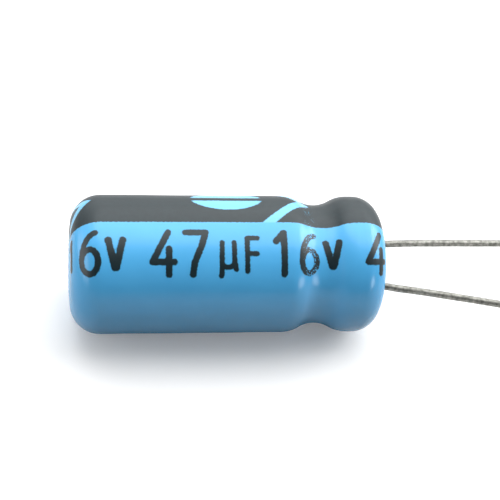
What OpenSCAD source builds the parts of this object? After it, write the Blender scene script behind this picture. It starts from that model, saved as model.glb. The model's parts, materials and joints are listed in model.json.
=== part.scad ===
// Radial aluminium electrolytic capacitor, lying on its side with both wires on the table.
// Every piece is drawn upright about the can's axis, with the closed end at z = 0 and the
// wires going up, and laid() then turns the finished piece down onto the table.
// All sizes are in millimetres.

/* [Can] */
// Outside diameter of the aluminium can
can_d = 5.0; // [4.8:0.05:5.6]
// Height of the can from its closed end to the top of its rolled rim
can_l = 11.65; // [11:0.05:14]
// Thickness of the can's drawn wall
can_wall = 0.25; // [0.15:0.01:0.3]
// Radius of the corner between the closed end and the side
corner_r = 1.0; // [0.5:0.05:1.1]
// Radius of the closed end's slight crown
crown_r = 15; // [10:1:60]
// Outside radius of the rim that is rolled in over the rubber
rim_r = 0.8; // [0.5:0.05:0.9]
// Radius of the round mouth that the rolled rim leaves open
mouth_r = 1.5; // [1.45:0.01:1.6]

/* [Bead groove] */
// Distance from the top of the rim down to the middle of the groove
groove_drop = 2.33; // [2.1:0.01:2.6]
// Depth of the groove that grips the rubber
groove_depth = 0.35; // [0.2:0.01:0.5]
// Radius of the groove's hollow, on the can's outside
groove_r = 1.45; // [1:0.05:1.6]
// Radius of the two shoulders beside the groove, on the can's outside
shoulder_r = 1.15; // [0.8:0.05:1.3]

/* [Sleeve] */
// Thickness of the printed heat-shrink sleeve
sleeve_wall = 0.15; // [0.08:0.01:0.25]
// Radius of the window that the shrunk sleeve leaves in the closed end
window_r = 1.2; // [0.8:0.05:1.4]
// Radius of the sleeve's edge where it turns in over the rolled rim
sleeve_mouth_r = 1.6; // [1.55:0.01:1.68]

/* [Rubber bung] */
// Height of the rubber bung
bung_l = 2.75; // [2.3:0.05:3]
// Height of the raised collar round each wire
collar_h = 0.12; // [0.05:0.01:0.15]
// Width of the collar's foot round the wire
collar_w = 0.22; // [0.1:0.01:0.25]
// Width of the collar's flat top round the wire
collar_top_w = 0.07; // [0.03:0.01:0.09]

/* [Wound element] */
// Diameter of the roll of foil and paper
roll_d = 4.1; // [3.6:0.05:4.2]
// Length of the roll without the paper that stands out of its ends
roll_l = 6.9; // [5:0.1:7]
// Height by which the wider paper stands out of each end of the roll
paper_proud = 0.25; // [0.1:0.05:0.3]
// Distance between one turn of paper and the next
turn_pitch = 0.3; // [0.25:0.01:0.4]
// Thickness of one turn of paper
paper_t = 0.12; // [0.08:0.01:0.16]
// Radius of the hole that the winding pin leaves
core_r = 0.2; // [0.1:0.01:0.25]
// Free height between the roll and the floor of the can
roll_gap = 0.3; // [0.2:0.01:0.5]
// Thickness of the tape that closes the roll
tape_t = 0.05; // [0.02:0.01:0.06]
// Width of the tape that closes the roll
tape_w = 3.2; // [2:0.1:5]

/* [Tabs] */
// Diameter of a tab's round stem
stem_d = 1.0; // [0.8:0.05:1.1]
// Height of the weld that joins a stem to its wire
weld_h = 0.25; // [0.15:0.05:0.35]
// Width of the weld's flat top round the wire
weld_land = 0.06; // [0.03:0.01:0.12]
// Thickness of rubber above the weld
rubber_over_weld = 0.75; // [0.4:0.05:0.9]
// Height of the blade's end above the roll's paper
blade_rise = 0.06; // [0.02:0.01:0.1]
// Thickness of a tab's flattened blade
blade_t = 0.25; // [0.15:0.01:0.35]
// Width of a tab's flattened blade
blade_w = 1.3; // [1.1:0.05:1.5]
// Depth to which a blade reaches into the roll
blade_depth = 4.2; // [2:0.1:4.8]

/* [Wires] */
// Distance between the middles of the two wires at the rubber
pitch = 2.0; // [1.8:0.05:2.1]
// Diameter of a wire
wire_d = 0.28; // [0.25:0.01:0.5]
// Straight length of a wire above the rubber, up to the middle of its bend
stub_l = 0.7; // [0.5:0.05:1]
// Straight length of the negative wire after its bend
cathode_run = 14.5; // [12:0.5:30]
// Straight length of the positive wire after its bend
anode_run = 19.5; // [12:0.5:30]
// Angle by which the negative wire is splayed sideways
cathode_splay = 10.1; // [0:0.1:15]
// Angle by which the positive wire is splayed sideways
anode_splay = 6.3; // [0:0.1:15]
// Turn of the pair of wires about the can's axis
roll_angle = 10; // [0:1:20]
// Height at which the tips are left above the table
tip_gap = 0.02; // [0.01:0.01:0.1]

/* [Hidden] */
$fn = 96;

// A length that reaches past any face it cuts, and the steps round the crown's large circle
over = 1;
crown_fn = 360;

// Can
can_r = can_d / 2;
can_z0 = sleeve_wall;
can_top = can_z0 + can_l;
crown_z = can_z0 + crown_r;
corner_x = can_r - corner_r;
corner_z = crown_z - sqrt(pow(crown_r - corner_r, 2) - pow(corner_x, 2));
floor_z = can_z0 + can_wall;
rim_x = can_r - rim_r;
rim_z = can_top - rim_r;

// Bead groove: its hollow is a circle outside the wall that touches both shoulders
groove_z = can_top - groove_drop;
groove_x = can_r + groove_r - groove_depth;
groove_half = sqrt(pow(groove_r + shoulder_r, 2) - pow(groove_x - can_r + shoulder_r, 2));

// Rubber bung: its top touches the lower edge of the rolled rim
bung_top = rim_z + sqrt(pow(rim_r - can_wall, 2) - pow(rim_x - mouth_r, 2));
bung_z0 = bung_top - bung_l;

// Roll
roll_r = roll_d / 2;
roll_z0 = floor_z + roll_gap + paper_proud;
roll_z1 = roll_z0 + roll_l;
paper_r = core_r + paper_t;
turns = floor((roll_r - paper_r - paper_t) / turn_pitch - 0.5);

// Tabs and wires
stem_r = stem_d / 2;
wire_r = wire_d / 2;
weld_top = bung_top - rubber_over_weld;
weld_z0 = weld_top - weld_h;
weld_r = wire_r + weld_land;
blade_z1 = roll_z1 + paper_proud + blade_rise;
bend_z = bung_top + stub_l;
bend_gap = 0.2 * wire_r;
bend_ball_r = 1.07 * wire_r;

// The laid part: its axis is one sleeve radius above the table
axis_h = can_r + sleeve_wall;
cathode_way = wire_way(1, cathode_splay, cathode_run);
anode_way = wire_way(-1, anode_splay, anode_run);
cathode_tip = wire_tip(1, cathode_way, cathode_run);
anode_tip = wire_tip(-1, anode_way, anode_run);
x_near = crown_z - sqrt(pow(crown_r + sleeve_wall, 2) - pow(window_r, 2));
x_far = max(wire_reach(cathode_tip, cathode_way, 2), wire_reach(anode_tip, anode_way, 2));
y_far = max(axis_h, wire_reach(cathode_tip, cathode_way, 0));
y_near = max(axis_h, wire_reach(-anode_tip, anode_way, 0));
mid_x = (x_near + x_far) / 2;
mid_y = (y_far - y_near) / 2;

// Place where a wire leaves the rubber; side is 1 for the negative wire and -1 for the positive
function wire_root(side) = side * pitch / 2 * [cos(roll_angle), sin(roll_angle)];

// Direction of a wire after its bend, as a unit vector. It goes sideways by its splay and falls
// so that its tip comes down to the table at the end of its run.
function wire_way(side, splay, run) =
    let (
        drop = axis_h + wire_root(side)[1] - wire_r - tip_gap,
        sideways = side * sin(splay),
        fall = drop / run
    )
    [sideways, -fall, sqrt(1 - sideways * sideways - fall * fall)];

// Middle of a wire's cut end
function wire_tip(side, way, run) = concat(wire_root(side), [bend_z]) + run * way;

// Furthest reach of a wire's cut end along one axis
function wire_reach(tip, way, axis) = tip[axis] + wire_r * sqrt(1 - way[axis] * way[axis]);

// Lays an upright piece down: the can's axis runs along X and the wires point to +X
module laid() {
    translate([-mid_x, -mid_y, axis_h]) rotate([90, 0, 90]) children();
}

// Half section of the can's outside, grown by g, filled to the axis and cut off at the rim's middle
module can_form(g) {
    tangent = [corner_x, corner_z - crown_z] / (crown_r - corner_r);
    difference() {
        union() {
            intersection() {
                translate([0, crown_z]) circle(r = crown_r + g, $fn = crown_fn);
                polygon([
                    [0, can_z0 - over],
                    [0, crown_z] + tangent * (crown_r + over),
                    [corner_x, corner_z],
                    [0, corner_z]
                ]);
            }
            intersection() {
                translate([corner_x, corner_z]) circle(r = corner_r + g);
                translate([0, can_z0 - over]) square([can_r + over, corner_r + can_r]);
            }
            translate([0, corner_z]) square([can_r + g, rim_z - corner_z]);
        }
        groove_cut(g);
    }
}

// Half section of what the bead groove takes away from a form that is grown by g
module groove_cut(g) {
    difference() {
        union() {
            translate([groove_x, groove_z]) circle(r = groove_r - g);
            polygon([
                [can_r - shoulder_r, groove_z - groove_half],
                [groove_x, groove_z],
                [can_r - shoulder_r, groove_z + groove_half],
                [groove_x + groove_r, groove_z + groove_half],
                [groove_x + groove_r, groove_z - groove_half]
            ]);
        }
        for (side = [-1, 1]) {
            translate([can_r - shoulder_r, groove_z + side * groove_half]) circle(r = shoulder_r + g);
        }
    }
}

// Half section of the rolled rim's outside, grown by g, above the rim's middle
module rim_form(g) {
    intersection() {
        translate([rim_x, rim_z]) circle(r = rim_r + g);
        translate([0, rim_z]) square([can_r + over, rim_r + over]);
    }
}

// Printed heat-shrink sleeve, turned in over the closed end and over the rim
module sleeve() {
    color("#3f9bd8")
    laid() rotate_extrude() difference() {
        union() {
            can_form(sleeve_wall);
            rim_form(sleeve_wall);
        }
        can_form(0);
        rim_form(0);
        square([window_r, can_top / 2]);
        translate([0, can_top / 2]) square([sleeve_mouth_r, can_top]);
    }
}

// Drawn aluminium can with its bead groove and its rim rolled in over the bung
module can() {
    color("#c9ccd0")
    laid() rotate_extrude() difference() {
        union() {
            can_form(0);
            rim_form(0);
        }
        can_form(-can_wall);
        rim_form(-can_wall);
        translate([0, can_top / 2]) square([mouth_r, can_top]);
    }
}

// Way of one tab and wire through the bung
module lead_passage(side) {
    root = wire_root(side);
    translate([root[0], root[1], 0]) {
        translate([0, 0, bung_z0 - over]) cylinder(r = stem_r, h = weld_z0 - bung_z0 + over);
        translate([0, 0, weld_z0]) cylinder(r1 = stem_r, r2 = weld_r, h = weld_h);
        translate([0, 0, weld_z0]) cylinder(r = wire_r, h = bung_top - weld_z0 + over);
    }
}

// Raised collar of rubber round one wire
module bung_collar(side) {
    root = wire_root(side);
    translate([root[0], root[1], bung_top])
        cylinder(r1 = wire_r + collar_w, r2 = wire_r + collar_top_w, h = collar_h);
}

// Rubber bung, squeezed to a waist by the groove and held down by the rim
module rubber_bung() {
    color("#2b2b2d")
    laid() difference() {
        union() {
            rotate_extrude() intersection() {
                union() {
                    can_form(-can_wall);
                    rim_form(-can_wall);
                    translate([0, rim_z]) square([rim_x, bung_l]);
                }
                translate([0, bung_z0]) square([can_r, bung_l]);
            }
            bung_collar(1);
            bung_collar(-1);
        }
        lead_passage(1);
        lead_passage(-1);
    }
}

// Half ring of paper on one side of the roll's end
module half_turn(r, centre, side) {
    intersection() {
        translate([centre, 0]) difference() {
            circle(r = r + paper_t);
            circle(r = r);
        }
        translate([-roll_d, side > 0 ? 0 : -roll_d]) square([2 * roll_d, roll_d]);
    }
}

// Edge of the wound paper: a spiral of half rings about two centres, half a turn apart
module paper_edge() {
    for (turn = [0 : turns - 1]) {
        half_turn(paper_r + turn * turn_pitch, 0, 1);
        half_turn(paper_r + (turn + 0.5) * turn_pitch, turn_pitch / 2, -1);
    }
}

// Roll of two foils and two papers, with the paper standing out of both ends
module wound_element() {
    color("#cbb287")
    laid() difference() {
        union() {
            translate([0, 0, roll_z0]) cylinder(r = roll_r, h = roll_l);
            translate([0, 0, roll_z0 - paper_proud]) linear_extrude(roll_l + 2 * paper_proud) paper_edge();
        }
        translate([0, 0, roll_z0 - over]) cylinder(r = core_r, h = roll_l + 2 * over);
        for (side = [-1, 1]) {
            tab_blade(side, over);
        }
    }
}

// Tape round the middle of the roll
module closing_tape() {
    color("#e9e2cf")
    laid() translate([0, 0, (roll_z0 + roll_z1 - tape_w) / 2]) difference() {
        cylinder(r = roll_r + tape_t, h = tape_w);
        translate([0, 0, -over]) cylinder(r = roll_r, h = tape_w + 2 * over);
    }
}

// Flattened blade of a tab, from its depth in the roll up to the stem and past it by extra
module tab_blade(side, extra) {
    root = wire_root(side);
    translate([root[0], root[1], roll_z1 - blade_depth]) rotate([0, 0, roll_angle])
        translate([-blade_t / 2, -blade_w / 2, 0])
        cube([blade_t, blade_w, blade_z1 - roll_z1 + blade_depth + extra]);
}

// Aluminium tab: blade, round stem and the weld round the wire's end
module tab(side) {
    root = wire_root(side);
    difference() {
        union() {
            tab_blade(side, 0);
            translate([root[0], root[1], blade_z1]) cylinder(r = stem_r, h = weld_z0 - blade_z1);
            translate([root[0], root[1], weld_z0]) cylinder(r1 = stem_r, r2 = weld_r, h = weld_h);
        }
        translate([root[0], root[1], weld_z0]) cylinder(r = wire_r, h = weld_h + over);
    }
}

module cathode_tab() { color("#d3d6d9") laid() tab(1); }

module anode_tab() { color("#d3d6d9") laid() tab(-1); }

// Wire: up through the bung to its bend, then a straight run down to the table. The two
// lengths stop short of each other inside a ball that is a little wider than the wire.
module wire(side, way, run) {
    root = wire_root(side);
    translate([root[0], root[1], bend_z]) {
        translate([0, 0, weld_z0 - bend_z]) cylinder(r = wire_r, h = bend_z - weld_z0 - bend_gap);
        sphere(r = bend_ball_r);
        rotate([0, 0, atan2(way[1], way[0])]) rotate([0, acos(way[2]), 0])
            translate([0, 0, bend_gap]) cylinder(r = wire_r, h = run - bend_gap);
    }
}

module cathode_lead() { color("#8b8d84") laid() wire(1, cathode_way, cathode_run); }

module anode_lead() { color("#8b8d84") laid() wire(-1, anode_way, anode_run); }

sleeve();
can();
rubber_bung();
wound_element();
closing_tape();
anode_tab();
cathode_tab();
anode_lead();
cathode_lead();
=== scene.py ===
import json

import bpy
import numpy as np
from mathutils import Matrix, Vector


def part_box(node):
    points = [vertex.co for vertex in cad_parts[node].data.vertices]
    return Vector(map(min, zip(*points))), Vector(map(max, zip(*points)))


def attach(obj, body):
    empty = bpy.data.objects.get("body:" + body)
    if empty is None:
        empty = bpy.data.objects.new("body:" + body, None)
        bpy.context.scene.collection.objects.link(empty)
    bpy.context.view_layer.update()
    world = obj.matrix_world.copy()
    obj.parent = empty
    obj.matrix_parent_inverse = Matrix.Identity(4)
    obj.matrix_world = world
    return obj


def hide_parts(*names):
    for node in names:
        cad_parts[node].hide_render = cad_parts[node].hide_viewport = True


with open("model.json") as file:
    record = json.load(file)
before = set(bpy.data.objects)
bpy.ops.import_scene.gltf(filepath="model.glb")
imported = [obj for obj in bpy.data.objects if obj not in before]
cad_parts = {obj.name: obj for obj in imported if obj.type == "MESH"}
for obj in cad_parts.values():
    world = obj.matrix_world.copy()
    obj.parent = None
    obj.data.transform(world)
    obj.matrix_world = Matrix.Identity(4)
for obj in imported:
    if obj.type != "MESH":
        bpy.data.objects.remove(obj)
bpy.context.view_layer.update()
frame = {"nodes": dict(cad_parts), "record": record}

# Camera: the can lies on its side and is seen from the front and from half-way up, through a
# long lens held a little towards the closed end. The angle round the can's axis, the turn
# towards the end, and the place of the closed end in the picture set where the camera stands.
mm = 0.001
sleeve_low, sleeve_high = (np.array(corner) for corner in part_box("sleeve"))
axis_y, axis_z = (sleeve_low[1:] + sleeve_high[1:]) / 2
film_l = 11.95 * mm
closed_x = sleeve_high[0] - film_l
view_round_axis = np.radians(46)
view_towards_end = np.radians(9.24)
picture_px = 500
focal_px = 1200
px_per_metre = 26.4 / mm
closed_end_px = np.array([67.5, 264.35])

to_right = np.array([
    np.cos(view_towards_end),
    -np.sin(view_towards_end) * np.cos(view_round_axis),
    np.sin(view_towards_end) * np.sin(view_round_axis),
])
to_top = np.array([0, np.sin(view_round_axis), np.cos(view_round_axis)])
to_camera = np.cross(to_right, to_top)
aside_px, above_px = (picture_px / 2 - closed_end_px) * (1, -1)
camera_place = np.array([closed_x, axis_y, axis_z]) + (
    to_right * aside_px + to_top * above_px + to_camera * focal_px) / px_per_metre
camera_data = bpy.data.cameras.new("camera")
camera_data.sensor_width = 36
camera_data.lens = camera_data.sensor_width * focal_px / picture_px
camera_data.clip_start = 1 * mm
camera_data.clip_end = 10
camera = bpy.data.objects.new("camera", camera_data)
camera.matrix_world = Matrix.Translation(camera_place) @ Matrix(
    np.column_stack([to_right, to_top, to_camera]).tolist()).to_4x4()
bpy.context.scene.collection.objects.link(camera)
bpy.context.scene.camera = camera

# Sleeve: a tube of printed heat-shrink film, shrunk on with hot air so that it follows the
# can's corner, its bead groove and its rolled rim, and turns in over both ends. The film is one
# closed skin, whose half section is carried round the can's axis.
can_r = 2.5 * mm
film_t = 0.15 * mm
can_top = film_l - film_t
crown_r = 15 * mm
corner_r = 1.0 * mm
rim_r = 0.8 * mm
groove_middle = can_top - 2.33 * mm
groove_depth = 0.35 * mm
hollow_r = 1.45 * mm
shoulder_r = 1.15 * mm
window_r = 1.2 * mm
mouth_r = 1.6 * mm
film_to_can = 0.004 * mm
edge_bulge = 0.4 * film_t
edge_points = 7


def arc(centre, radius, start, stop, count):
    """Points of a round stretch of the half section, as (along the axis, out from it):
    centre + radius (sin a, cos a) for angles a from start to stop."""
    a = np.linspace(start, stop, count)
    return np.column_stack([centre[0] + radius * np.sin(a), centre[1] + radius * np.cos(a)])


def skin_line(grow, fineness, from_out, to_out):
    """Half section of a skin at a height grow over the can's: the crowned end, its corner, the
    side with its groove between two shoulders, and the rolled rim. It starts and ends at the two
    given distances from the axis. Neighbouring circles touch, so the line is smooth. fineness
    scales the number of points in each stretch."""
    def count(full):
        return max(3, int(full * fineness))

    crown_x = film_t + crown_r
    corner_out = can_r - corner_r
    corner_x = crown_x - np.sqrt((crown_r - corner_r) ** 2 - corner_out ** 2)
    lean = np.arcsin(corner_out / (crown_r - corner_r))
    hollow_out = can_r + hollow_r - groove_depth
    shoulder_out = can_r - shoulder_r
    half = np.sqrt((hollow_r + shoulder_r) ** 2 - (hollow_out - shoulder_out) ** 2)
    turn = np.arcsin(half / (hollow_r + shoulder_r))
    rim_x = can_top - rim_r
    rim_out = can_r - rim_r
    rim_end = np.arccos((to_out - rim_out) / (rim_r + grow))
    start = np.arcsin(from_out / (crown_r + grow))
    quarter = np.pi / 2
    side_count = count(120)
    line = np.concatenate([
        arc((crown_x, 0), crown_r + grow, -quarter - start, -quarter - lean, count(14)) * (1, -1),
        arc((corner_x, corner_out), corner_r + grow, -quarter + lean, 0, count(36)),
        np.column_stack([
            np.linspace(corner_x, groove_middle - half, side_count),
            np.full(side_count, can_r + grow),
        ]),
        arc((groove_middle - half, shoulder_out), shoulder_r + grow, 0, turn, count(16)),
        arc((groove_middle, hollow_out), -(hollow_r - grow), turn, -turn, count(36)),
        arc((groove_middle + half, shoulder_out), shoulder_r + grow, -turn, 0, count(16)),
        arc((rim_x, rim_out), rim_r + grow, 0, rim_end, count(38)),
    ])
    step = np.hypot(*np.diff(line, axis=0).T)
    return line[np.append(True, step > 1e-3 * mm)]


def film_edge(from_point, to_point):
    """Rounded cut edge of the film: half an oval between its two faces, bulging to the axis."""
    a = np.linspace(0, np.pi, edge_points)[1:-1, None]
    middle = (from_point + to_point) / 2
    half = (from_point - to_point) / 2
    return middle + half * np.cos(a) + np.array((0, -edge_bulge)) * np.sin(a)


def carried_round(section, around):
    """A half section at each of the angles around: grids of the distance along the axis, the
    distance out from it and the angle."""
    return np.broadcast_arrays(section[:, :1], section[:, 1:], around[None, :])


def round_axis(along, out, angle):
    """Points from distances along the can's axis and out from it, and angles round it. Angle 0
    is the front at the axis's height, and a quarter turn is the top."""
    return np.stack([
        closed_x + along,
        axis_y - out * np.cos(angle),
        axis_z + out * np.sin(angle),
    ], -1)


def skin_faces(rows, columns, close_rows):
    """Four-cornered faces of a grid of points whose columns run round and close. Its rows close
    too where close_rows is true."""
    i = np.arange(rows if close_rows else rows - 1)[:, None]
    j = np.arange(columns)[None, :]
    i2 = (i + 1) % rows
    j2 = (j + 1) % columns
    corners = np.broadcast_arrays(
        i * columns + j, i2 * columns + j, i2 * columns + j2, i * columns + j2)
    return np.stack(corners, -1).reshape(-1, 4).tolist()


def capped_faces(rows, columns):
    """Faces of such a grid with open rows, and one face more over its first and its last row."""
    last = (rows - 1) * columns
    caps = [list(range(columns)), list(range(last + columns - 1, last - 1, -1))]
    return skin_faces(rows, columns, False) + caps


def mesh_piece(name, points, faces, cad_node):
    """A smooth piece made from a grid of points and a list of faces, for one CAD node."""
    mesh = bpy.data.meshes.new(name)
    mesh.from_pydata(points.reshape(-1, 3), [], faces)
    mesh.polygons.foreach_set("use_smooth", np.ones(len(mesh.polygons), bool))
    mesh.update()
    piece = bpy.data.objects.new(name, mesh)
    bpy.context.scene.collection.objects.link(piece)
    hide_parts(cad_node)
    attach(piece, "root")
    return piece


outside = skin_line(film_t, 1, window_r, mouth_r)
inside = skin_line(film_to_can, 0.16, window_r, mouth_r)[::-1]
section = np.concatenate([
    outside,
    film_edge(outside[-1], inside[0]),
    inside,
    film_edge(inside[-1], outside[0]),
])

# The columns stand closer together on the printed side. Angle 0 faces the camera.
printed_from, printed_to = np.radians(-24), np.radians(112)
printed_columns, plain_columns = 176, 96
around = np.concatenate([
    np.linspace(printed_from, printed_to, printed_columns, endpoint=False),
    np.linspace(printed_to, printed_from + 2 * np.pi, plain_columns, endpoint=False),
])
along, out, turn_round = carried_round(section, around)

# Shrinking leaves the film's cut edges uneven, with faint pleats running in to the window, and
# a slight waviness over the whole side.
window_fade, window_uneven = 0.35 * mm, 0.035 * mm
mouth_fade, mouth_uneven = 0.12 * mm, 0.015 * mm
pleats_round, pleat_h = 24, 0.003 * mm
wave_h = 0.004 * mm
near_window = np.exp(-np.clip(out - window_r, 0, None) / window_fade) * (along < corner_r)
near_mouth = np.exp(-np.clip(out - mouth_r, 0, None) / mouth_fade) * (along > can_top - rim_r)
uneven = sum(
    size * np.sin(times * turn_round + start)
    for size, times, start in ((1, 2, 0.6), (0.45, 5, 2.1), (0.15, 9, 0)))
pleats = np.sin(pleats_round * turn_round + 1.5 * np.sin(5 * turn_round))
waves = np.sin(1.9 * along / mm + 2 * turn_round) * np.sin(0.7 * along / mm - turn_round + 1)
out = out + near_window * uneven * window_uneven + near_mouth * uneven * mouth_uneven
along = along - near_window * (pleats + 1) * pleat_h
out = out + waves * wave_h * (out > can_r)
film = mesh_piece(
    "sleeve_film", round_axis(along, out, turn_round + view_round_axis),
    skin_faces(len(section), len(around), True), "sleeve")

# Print: a black stripe with arrow-shaped gaps and a minus sign in an oval, which marks the
# negative wire, and the rating beside it. It was printed on the flat film, so its places are
# distances over the film, along from the closed end and round from the side that faces the
# camera, in mm. The mesh keeps each point's distance to the ink's edge, less than 0 inside it.
# Lengths over the film and along the can agree at measured_from. The inner face has no print.
measured_from = 4.0
inner_face = -20.0
far_from_ink = 5.0
film_step = np.append(0, np.hypot(*np.diff(outside, axis=0).T)).cumsum() / mm
film_step += measured_from - np.interp(measured_from * mm, outside[:, 0], film_step)
u = np.full(len(section), inner_face)
u[:len(outside)] = film_step
u = np.broadcast_to(u[:, None], turn_round.shape)
v = turn_round * (can_r + film_t) / mm


def repeated(first, pitch):
    """Distance along the film from the nearest repeat of a mark whose first place is given."""
    return (u - first + pitch / 2) % pitch - pitch / 2


stripe_pitch = 8.35
stripe_middle = 3.165
stripe_half_w = 1.485
arrow_tip = 9.20
arrow_w = 0.50
arrow_slope = 1.057
oval_middle = 5.92
oval_half_l, oval_half_h = 1.36, 0.81
minus_half_h = 0.15

off_middle = np.abs(v - stripe_middle)
band = off_middle - stripe_half_w
arrow_middle = arrow_tip - arrow_w / 2 - arrow_slope * stripe_half_w / 2
along_arm = repeated(arrow_middle, stripe_pitch) + arrow_slope * (off_middle - stripe_half_w / 2)
arrow_gap = (np.abs(along_arm) - arrow_w / 2) / np.hypot(1, arrow_slope)
along_oval = repeated(oval_middle, stripe_pitch)
oval = (np.hypot(along_oval / oval_half_l, off_middle / oval_half_h) - 1) * oval_half_h
minus = off_middle - minus_half_h
stripe = np.maximum(np.maximum(band, -arrow_gap), -np.maximum(oval, -minus))


def bow(x, y, half_w, half_h, start, stop):
    """Points of a bowed stroke: an oval's outline between two angles in degrees."""
    a = np.radians(np.linspace(start, stop, 13))
    return np.column_stack([x + half_w * np.cos(a), y + half_h * np.sin(a)])


# Each mark has its strokes in a box from -1 to 1 across and 0 to 1 up, then its place along the
# film, its half width, its foot and head round the film, and its strokes' width.
rating_start, rating_pitch = 3.41, 8.15
rating_middle, rating_reach = 0.4, 1.4
foot, head = -0.35, 1.23
marks = [
    ([[(0.45, 1), (-1, 0.29), (1, 0.29)], [(0.5, 0.6), (0.5, 0)]], 0.0, 0.40, foot, head, 0.245),
    ([[(-1, 1), (1, 1), (0.55, 0.66), (-0.15, 0.28), (-0.3, 0)]], 1.19, 0.37, foot, head, 0.245),
    ([[(-0.9, 1), (-0.95, 0.1), (-1, 0)],
      bow(-0.1, 0.42, 0.85, 0.16, 200, 345),
      [(0.75, 1), (0.8, 0.45), (1, 0.2)]], 2.39, 0.27, -0.41, 0.83, 0.19),
    ([[(-1, 0), (-1, 1), (1, 1)], [(-1, 0.52), (0.9, 0.52)]], 3.27, 0.19, -0.24, 1.01, 0.19),
    ([[(-0.8, 0.78), (0.2, 1), (0.2, 0)]], 4.40, 0.30, foot, head, 0.245),
    ([bow(0, 0.3, 1, 0.3, 0, 360), bow(0.9, 0.3, 1.9, 0.7, 180, 97)], 5.47, 0.33, foot, head, 0.235),
    ([[(-1, 1), (-0.1, 0), (0.1, 0), (1, 1)]], 6.42, 0.26, -0.10, 0.93, 0.26),
]
rating = np.full(u.shape, far_from_ink)
in_reach = np.abs(v - rating_middle) < rating_reach
for strokes, place, half_w, low, high, stroke_w in marks:
    x = repeated(rating_start + place, rating_pitch)[in_reach]
    y = v[in_reach]
    for stroke in strokes:
        points = np.array(stroke, float) * (half_w, high - low) + (0, low)
        for (ax, ay), (bx, by) in zip(points[:-1], points[1:]):
            share = ((x - ax) * (bx - ax) + (y - ay) * (by - ay)) / ((bx - ax) ** 2 + (by - ay) ** 2)
            share = np.clip(share, 0, 1)
            gap = np.hypot(x - ax - share * (bx - ax), y - ay - share * (by - ay)) - stroke_w / 2
            rating[in_reach] = np.minimum(rating[in_reach], gap)
ink_distance = np.where(u > inner_face, np.minimum(stripe, rating), far_from_ink)

# The ink is worn where the film was drawn down into the groove, and less so in the stripe. The
# stripe's gaps were left unprinted on a paler ground.
worn_middle, worn_half_w = 8.98, 0.48
stripe_wear = 0.72
pale_fade = 0.05
worn = np.exp(-((u - worn_middle) / worn_half_w) ** 2)
worn = worn * np.where(v > stripe_middle - stripe_half_w, stripe_wear, 1.0)
pale = np.clip(0.5 - band / pale_fade, 0, 1)
for attribute_name, values in (("ink_distance", ink_distance), ("worn", worn), ("pale", pale)):
    attribute = film.data.attributes.new(attribute_name, "FLOAT", "POINT")
    attribute.data.foreach_set("value", values.astype(np.float32).ravel())


def node_adder(tree):
    """A function that adds a node to a tree: its kind, its inputs by name or number, each a
    value or another node's output to link, and its settings."""
    def add(kind, inputs=None, **settings):
        node = tree.nodes.new(kind)
        for key, value in settings.items():
            setattr(node, key, value)
        for key, value in (inputs or {}).items():
            if isinstance(value, bpy.types.NodeSocket):
                tree.links.new(value, node.inputs[key])
            else:
                node.inputs[key].default_value = value
        return node

    return add


def blank_material(name):
    """A material with only its shader, the function that adds a node, and one that feeds an
    output to an input of the shader."""
    material = bpy.data.materials.new(name)
    material.use_nodes = True
    tree = material.node_tree
    shader = tree.nodes["Principled BSDF"]

    def feed(key, output):
        tree.links.new(output, shader.inputs[key])

    return material, shader, node_adder(tree), feed


def grain(add, scale, detail=3.0, stretch=(1, 1, 1), rough=0.5):
    """Noise over the piece, in lumps of about 1 / scale metres, stretched along the axes."""
    place = add("ShaderNodeTexCoord").outputs["Object"]
    spread = add("ShaderNodeMapping", {"Vector": place, "Scale": stretch})
    return add("ShaderNodeTexNoise", {
        "Vector": spread.outputs["Vector"], "Scale": scale, "Detail": detail,
        "Roughness": rough}).outputs["Fac"]


def blend(add, factor, first, second):
    """Colour between two colours, each a node's output or red, green and blue."""
    ends = {"Factor": factor}
    for key, colour in (("A", first), ("B", second)):
        ends[key] = colour if isinstance(colour, bpy.types.NodeSocket) else (*colour, 1)
    return add("ShaderNodeMix", ends, data_type="RGBA").outputs["Result"]


def ramp(add, value, low, high, start=0.0, stop=1.0):
    """A number that goes from low, where the value is start, to high, where it is stop."""
    return add("ShaderNodeMapRange", {
        "Value": value, "From Min": start, "From Max": stop,
        "To Min": low, "To Max": high}).outputs[0]


def calc(add, operation, *values):
    """The result of one operation on some values."""
    return add("ShaderNodeMath", dict(enumerate(values)), operation=operation).outputs[0]


def bump(add, height, strength, depth, over=None):
    """A normal bent by a height, over another bent normal where one is given."""
    inputs = {"Height": height, "Strength": strength, "Distance": depth}
    if over is not None:
        inputs["Normal"] = over
    return add("ShaderNodeBump", inputs).outputs["Normal"]


def put_on(piece, material):
    """Gives a piece one material."""
    piece.data.materials.clear()
    piece.data.materials.append(material)


# The film is a glossy sky blue, a little uneven in tone, with faint lines along it from drawing.
# Its ink has rough edges, and has cracked open into fine specks where it is worn: the edges move
# by up to ragged_w mm, and a speck opens where its noise is above a level that wear brings down.
ragged_w, ragged_shift = 0.07, -0.037
edge_soft = 0.018
speck_level, speck_wear, speck_soft = 0.95, -0.36, 0.03
film_material, shader, add, feed = blank_material("sleeve_film")
ink_edge, worn_here, in_stripe = (
    add("ShaderNodeAttribute", attribute_name=kept).outputs["Fac"]
    for kept in ("ink_distance", "worn", "pale"))
film_tone = blend(add, grain(add, 700, 2.0), (0.08, 0.42, 0.8), (0.1, 0.485, 0.885))
film_tone = blend(add, in_stripe, film_tone, (0.17, 0.55, 0.86))
ragged = calc(add, "MULTIPLY_ADD", grain(add, 11000, 4.0), ragged_w, ragged_shift)
ragged_edge = calc(add, "ADD", ink_edge, ragged)
inked = ramp(add, ragged_edge, low=0.0, high=1.0, start=edge_soft, stop=-edge_soft)
open_to = calc(add, "MULTIPLY_ADD", worn_here, speck_wear, speck_level)
open_from = calc(add, "SUBTRACT", open_to, speck_soft)
uncracked = ramp(add, grain(add, 21000, 1.0), low=1.0, high=0.0, start=open_from, stop=open_to)
ink_left = calc(add, "MULTIPLY", inked, uncracked)
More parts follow.
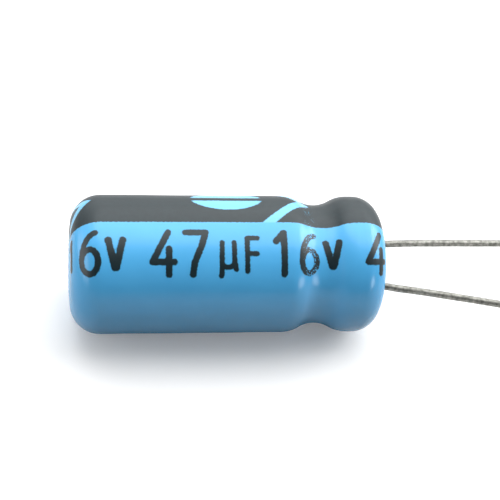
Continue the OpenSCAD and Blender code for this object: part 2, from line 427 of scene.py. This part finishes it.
ink_tone = blend(add, grain(add, 5200), (0.002, 0.011, 0.016), (0.008, 0.024, 0.03))
feed("Base Color", blend(add, ink_left, film_tone, ink_tone))
feed("Roughness", ramp(add, ink_left, low=0.19, high=0.38))
drawn_lines = bump(add, grain(add, 1300, 2.0, (0.07, 1, 1)), strength=0.7, depth=0.016 * mm)
film_bump = bump(
    add, grain(add, 3200, 3.0, (0.35, 1, 1)), strength=0.25, depth=0.004 * mm, over=drawn_lines)
feed("Normal", bump(add, ink_left, strength=0.5, depth=0.004 * mm, over=film_bump))
shader.inputs["IOR"].default_value = 1.5
put_on(film, film_material)

# Can: drawn from a soft aluminium slug, so its skin is satin, with faint rings left by the punch
# and die. It shows in the film's window at the closed end, and its rolled rim at the other. It
# is one closed skin, the outer and inner half sections carried round the axis.
can_wall = 0.25 * mm
can_mouth_r = 1.5 * mm
can_middle_r = 0.03 * mm
can_columns = 120
can_section = np.concatenate([
    skin_line(0, 0.6, can_middle_r, can_mouth_r),
    skin_line(-can_wall, 0.35, can_middle_r, can_mouth_r)[::-1],
])
can_around = np.linspace(0, 2 * np.pi, can_columns, endpoint=False)
can = mesh_piece(
    "can_shell", round_axis(*carried_round(can_section, can_around)),
    capped_faces(len(can_section), can_columns), "can")

can_material, shader, add, feed = blank_material("can_aluminium")
from_axis = add("ShaderNodeMapping", {
    "Vector": add("ShaderNodeTexCoord").outputs["Object"], "Location": (0, -axis_y, -axis_z)})
rings = add("ShaderNodeTexWave", {
    "Vector": from_axis.outputs["Vector"], "Scale": 1500.0, "Distortion": 1.0, "Detail": 1.0,
    "Detail Scale": 2.0}, wave_type="RINGS", rings_direction="X").outputs["Fac"]
feed("Base Color", blend(add, grain(add, 2400), (0.56, 0.57, 0.59), (0.72, 0.73, 0.75)))
feed("Roughness", ramp(add, rings, low=0.26, high=0.4))
feed("Normal", bump(add, rings, strength=0.08, depth=0.003 * mm))
shader.inputs["Metallic"].default_value = 1.0
put_on(can, can_material)

# Bung: black butyl rubber, moulded with a raised collar round each wire, so it is matt, with a
# fine grain and a few paler specks of the powder that keeps the mouldings from sticking.
rubber_material, shader, add, feed = blank_material("bung_rubber")
dusty = ramp(add, grain(add, 16000, 4.0), low=0.0, high=1.0, start=0.62, stop=0.75)
feed("Base Color", blend(add, dusty, (0.018, 0.018, 0.02), (0.11, 0.11, 0.11)))
feed("Normal", bump(add, grain(add, 9000, 5.0), strength=0.6, depth=0.012 * mm))
shader.inputs["Roughness"].default_value = 0.62
put_on(frame["nodes"]["rubber_bung"], rubber_material)

# Wound element: two foils and two papers wound on a pin and soaked in electrolyte. The wider
# papers stand out of both ends, fibrous and straw-coloured, and the roll is damp.
paper_material, shader, add, feed = blank_material("roll_paper")
fibres = grain(add, 6000, 5.0, (0.25, 1, 1), 0.65)
feed("Base Color", blend(add, fibres, (0.42, 0.32, 0.18), (0.68, 0.57, 0.38)))
feed("Roughness", ramp(add, grain(add, 1500), low=0.35, high=0.8))
feed("Normal", bump(add, fibres, strength=0.5, depth=0.02 * mm))
put_on(frame["nodes"]["wound_element"], paper_material)

# Closing tape: a thin clear-backed tape round the roll that keeps it from unwinding. It is
# satin and slightly yellow, with small bubbles under it.
tape_material, shader, add, feed = blank_material("tape_film")
bubbles = add("ShaderNodeTexVoronoi", {
    "Vector": add("ShaderNodeTexCoord").outputs["Object"], "Scale": 3500.0})
stuck = ramp(add, bubbles.outputs["Distance"], low=0.0, high=1.0, start=0.1, stop=0.3)
feed("Base Color", blend(add, stuck, (0.88, 0.84, 0.72), (0.78, 0.7, 0.52)))
feed("Normal", bump(add, stuck, strength=0.3, depth=0.006 * mm))
shader.inputs["Roughness"].default_value = 0.38
put_on(frame["nodes"]["closing_tape"], tape_material)

# Tabs: aluminium wire, round where it passes the rubber and pressed flat where it is stitched
# to a foil, so its skin is scuffed along its length.
tab_material, shader, add, feed = blank_material("tab_aluminium")
scuffs = grain(add, 9000, 4.0, (0.12, 1, 1))
feed("Base Color", blend(add, scuffs, (0.62, 0.63, 0.65), (0.86, 0.87, 0.88)))
feed("Roughness", ramp(add, scuffs, low=0.3, high=0.5))
feed("Normal", bump(add, scuffs, strength=0.3, depth=0.006 * mm))
shader.inputs["Metallic"].default_value = 1.0
for tab in ("anode_tab", "cathode_tab"):
    put_on(frame["nodes"][tab], tab_material)

# Wires: tinned steel, welded to the tabs inside the rubber. Each comes straight out of the bung,
# is bent once by hand and runs down to the table, with a little bow left from handling, and
# ends where the cutters pinched it off.
wire_r = 0.14 * mm
wire_columns = 28
stub_rings, bend_rings, run_rings = 14, 15, 120
bend_reach = 0.5 * mm
bow_drop = 0.045 * mm
bow_reach = 1.1 * mm
pinch_l = 0.16 * mm
pinch_rings = np.array([1, 0.75, 0.5, 0.25, 0.08, 0])
pinched_w, pinch_narrows = 1.06, 0.5
pinched_h = 0.32


def wire_points(mount, low_x):
    """A round wire carried along its path: straight out along X, round the bend on a parabola,
    and along the mount's axis to its tip. Past the bend it sags to the front for a short way. It
    is a little thick and thin from drawing, and the tip's rings close to a blunt wedge."""
    way = np.array(mount["axis"], float)
    way = way / np.linalg.norm(way)
    run = mount["dims"]["length_mm"] * mm
    tip = np.array(mount["pos_m"]) + way * run / 2
    elbow = tip - way * run
    forward = np.array([1.0, 0, 0])
    stub = elbow[0] - low_x - bend_reach
    bend_end = stub + 2 * bend_reach
    wire_l = stub + bend_reach + run
    s = np.concatenate([
        np.linspace(0, stub, stub_rings)[:-1],
        np.linspace(stub, bend_end, bend_rings)[:-1],
        np.linspace(bend_end, wire_l - pinch_l, run_rings)[:-1],
        wire_l - pinch_l * pinch_rings,
    ])
    before = np.clip(stub - s, 0, None)[:, None]
    into = np.clip((s - stub) / (2 * bend_reach), 0, 1)[:, None]
    past = np.clip(s - bend_end, 0, None)[:, None]
    start = elbow - forward * bend_reach
    bend = start + bend_reach * ((2 * into * (1 - into) + into ** 2) * forward + into ** 2 * way)
    bowed = bow_drop * into * np.exp(-past / bow_reach)
    path = bend - before * forward + past * way - bowed * to_top
    tangent = np.gradient(path, axis=0)
    tangent /= np.linalg.norm(tangent, axis=1)[:, None]
    side = np.cross(tangent, [0, 0, 1])
    side /= np.linalg.norm(side, axis=1)[:, None]
    up = np.cross(side, tangent)
    left = np.clip((wire_l - s) / pinch_l, 0, 1)
    wide = np.where(left < 1, pinched_w - pinch_narrows * (1 - left) ** 3, 1)
    high = np.where(left < 1, pinched_h + (1 - pinched_h) * left ** 0.8, 1)
    uneven = 1 + 0.012 * np.sin(s / (0.31 * mm)) + 0.008 * np.sin(s / (0.13 * mm) + 1)
    a = np.linspace(0, 2 * np.pi, wire_columns, endpoint=False)[None, :, None]
    half_w = (wire_r * wide * uneven)[:, None, None]
    half_h = (wire_r * high * uneven)[:, None, None]
    return path[:, None] + side[:, None] * np.cos(a) * half_w + up[:, None] * np.sin(a) * half_h


mounts = {mount["name"]: mount for mount in frame["record"]["mounts"]}
wires = []
for lead, mount_name in (("anode_lead", "anode_wire"), ("cathode_lead", "cathode_wire")):
    points = wire_points(mounts[mount_name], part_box(lead)[0][0])
    faces = capped_faces(len(points), wire_columns)
    wires.append(mesh_piece(lead + "_wire", points, faces, lead))

wire_material, shader, add, feed = blank_material("wire_tinned")
dull = grain(add, 6500, 3.0)
mottled = ramp(add, dull, low=0.0, high=1.0, start=0.35, stop=0.65)
feed("Base Color", blend(add, mottled, (0.15, 0.15, 0.135), (0.35, 0.35, 0.32)))
feed("Roughness", ramp(add, dull, low=0.42, high=0.62))
feed("Normal", bump(add, grain(add, 9000, 4.0, (0.2, 1, 1)), strength=0.5, depth=0.01 * mm))
shader.inputs["Metallic"].default_value = 0.9
for wire in wires:
    put_on(wire, wire_material)

# Stage: a plain white table in a white room, lit by broad windows behind it and to its right.
# The room is brightest at the back, has a pale wall on the left and a small bright pane in front.
floor_half = 1.0
floor_z = -0.002 * mm
floor_corners = [
    (x * floor_half, y * floor_half, floor_z) for x, y in ((-1, -1), (1, -1), (1, 1), (-1, 1))]
floor_mesh = bpy.data.meshes.new("table_top")
floor_mesh.from_pydata(floor_corners, [], [(0, 1, 2, 3)])
table_top = bpy.data.objects.new("table_top", floor_mesh)
bpy.context.scene.collection.objects.link(table_top)

# The table is white where the camera sees it and where the part mirrors it close by, and dim
# where it only throws light back, so that it doesn't flood the part's lower side.
table_white, table_dim = 0.84, 0.1
table_glow = 0.18
mirrored_to, mirror_gone = 10 * mm, 40 * mm
mirror_left = 0.25
table_material, shader, add, feed = blank_material("table_white")
seen = add("ShaderNodeLightPath")
far_out = add("ShaderNodeVectorMath", {
    0: add("ShaderNodeTexCoord").outputs["Object"]}, operation="LENGTH").outputs["Value"]
near = ramp(add, far_out, low=1.0, high=mirror_left, start=mirrored_to, stop=mirror_gone)
mirrored = calc(add, "MULTIPLY", seen.outputs["Is Glossy Ray"], near)
seen_white = calc(add, "MAXIMUM", seen.outputs["Is Camera Ray"], mirrored)
feed("Base Color", blend(add, seen_white, [table_dim] * 3, [table_white] * 3))
feed("Emission Strength", calc(add, "MULTIPLY", seen.outputs["Is Camera Ray"], table_glow))
shader.inputs["Emission Color"].default_value = (1, 1, 1, 1)
shader.inputs["Roughness"].default_value = 0.9
shader.inputs["Specular IOR Level"].default_value = 0.0
put_on(table_top, table_material)

# Each window has the way that it lies in, its strength and how wide it looks in degrees.
windows = [
    ("window_right", (1.0, 0.2, 0.6), 1.5, 40),
    ("window_middle", (0.25, 0.42, 0.9), 1.52, 75),
    ("window_left", (-0.5, 0.4, 0.85), 0.2, 55),
]
for window_name, lies_in, strength, wide in windows:
    window_data = bpy.data.lights.new(window_name, "SUN")
    window_data.energy = strength
    window_data.angle = np.radians(wide)
    window = bpy.data.objects.new(window_name, window_data)
    back = np.array(lies_in) / np.linalg.norm(lies_in)
    side = np.cross([0, 1, 0], back)
    side /= np.linalg.norm(side)
    window.matrix_world = Matrix(
        np.column_stack([side, np.cross(back, side), back]).tolist()).to_4x4()
    bpy.context.scene.collection.objects.link(window)

# Each part of the room has the way that it lies in, then how nearly a ray has to go that way,
# as a cosine, for the part to be dimmest and brightest, and its light there.
world = bpy.data.worlds.new("white_room")
bpy.context.scene.world = world
world.use_nodes = True
add = node_adder(world.node_tree)
direction = add("ShaderNodeTexCoord").outputs["Generated"]
room_parts = [
    ((0.32, 0.75, 0.58), -0.08, 0.95, 0.04, 1.55),
    ((-0.99, -0.08, 0.05), 0.72, 0.98, 0.0, 3.2),
    ((0.69, -0.72, 0.1), 0.975, 0.996, 0.0, 4.5),
]
room_light = 0.0
for lies_in, dim_at, bright_at, dimmest, brightest in room_parts:
    cosine = add("ShaderNodeVectorMath", {0: direction, 1: lies_in}, operation="DOT_PRODUCT")
    part = add("ShaderNodeMapRange", {
        "Value": cosine.outputs["Value"], "From Min": dim_at, "From Max": bright_at,
        "To Min": dimmest, "To Max": brightest}, interpolation_type="SMOOTHSTEP")
    room_light = calc(add, "ADD", part.outputs[0], room_light)
straight = add("ShaderNodeLightPath").outputs["Is Camera Ray"]
brightness = add("ShaderNodeMix", {"Factor": straight, "A": room_light, "B": 1.0})
background = world.node_tree.nodes["Background"]
world.node_tree.links.new(brightness.outputs[0], background.inputs["Strength"])
background.inputs["Color"].default_value = (1, 1, 1, 1)
bpy.context.scene.view_settings.view_transform = "Standard"
